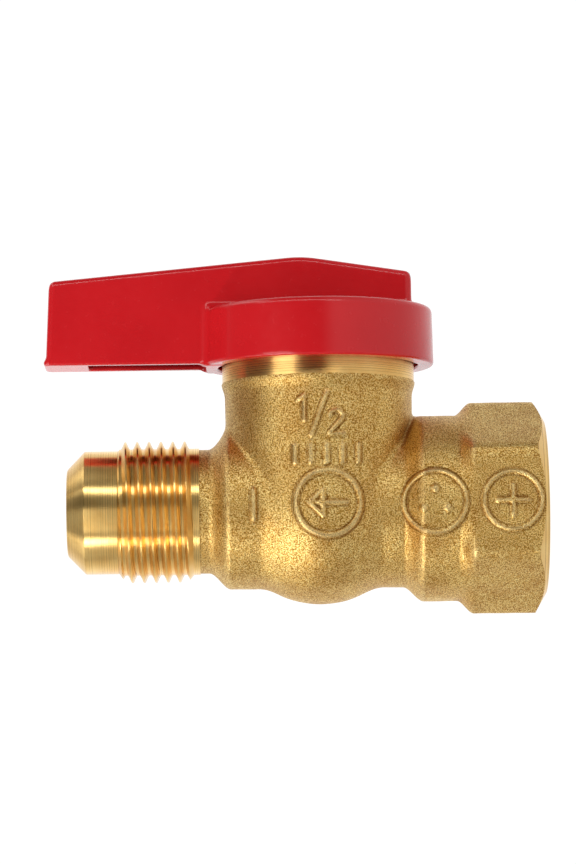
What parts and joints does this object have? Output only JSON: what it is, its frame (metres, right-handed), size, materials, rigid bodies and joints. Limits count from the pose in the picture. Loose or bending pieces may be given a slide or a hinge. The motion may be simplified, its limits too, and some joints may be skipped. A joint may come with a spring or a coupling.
{
  "type": "quarter-turn ball valve",
  "caption": "Small brass quarter-turn ball valve with a male flare outlet, a hexagonal female pipe-thread inlet and a red lever over a round cap.",
  "frame": {"origin": "centre of the inlet's end face, on the pipe axis", "axes": "+X along the pipe and out of the inlet, -X out of the flare outlet, +Z along the stem towards the lever, +Y completing a right-handed frame; the lever is at rest in the open position, along the pipe towards the outlet"},
  "size_m": [0.0669, 0.031, 0.048],
  "materials": {
    "forged_brass": "sand-blasted forging, satin",
    "turned_brass": "turned, bright",
    "red_enamel": "gloss enamel on a casting",
    "plated_ball": "polished plating",
    "ptfe": "moulded, waxy",
    "seal_rubber": "satin",
    "spring_steel": "satin",
    "screw_steel": "zinc plated"
  },
  "bodies": {
    "body": {"valve_body": "forged_brass", "outlet_seat": "ptfe", "inlet_seat": "ptfe", "pressure_ring": "turned_brass", "seat_spring": "spring_steel", "bonnet": "turned_brass", "bonnet_seal": "seal_rubber"},
    "lever": {"handle": "red_enamel", "screw_washer": "spring_steel", "handle_screw": "screw_steel", "stem": "turned_brass", "thrust_washer": "ptfe", "lower_stem_seal": "seal_rubber", "upper_stem_seal": "seal_rubber", "ball": "plated_ball"}
  },
  "joints": [
    {"name": "lever_turn", "type": "hinge", "parent": "body", "child": "lever", "pos_m": [-0.0301, 0, 0], "axis": [0, 0, 1], "range_deg": [-90, 0]}
  ]
}
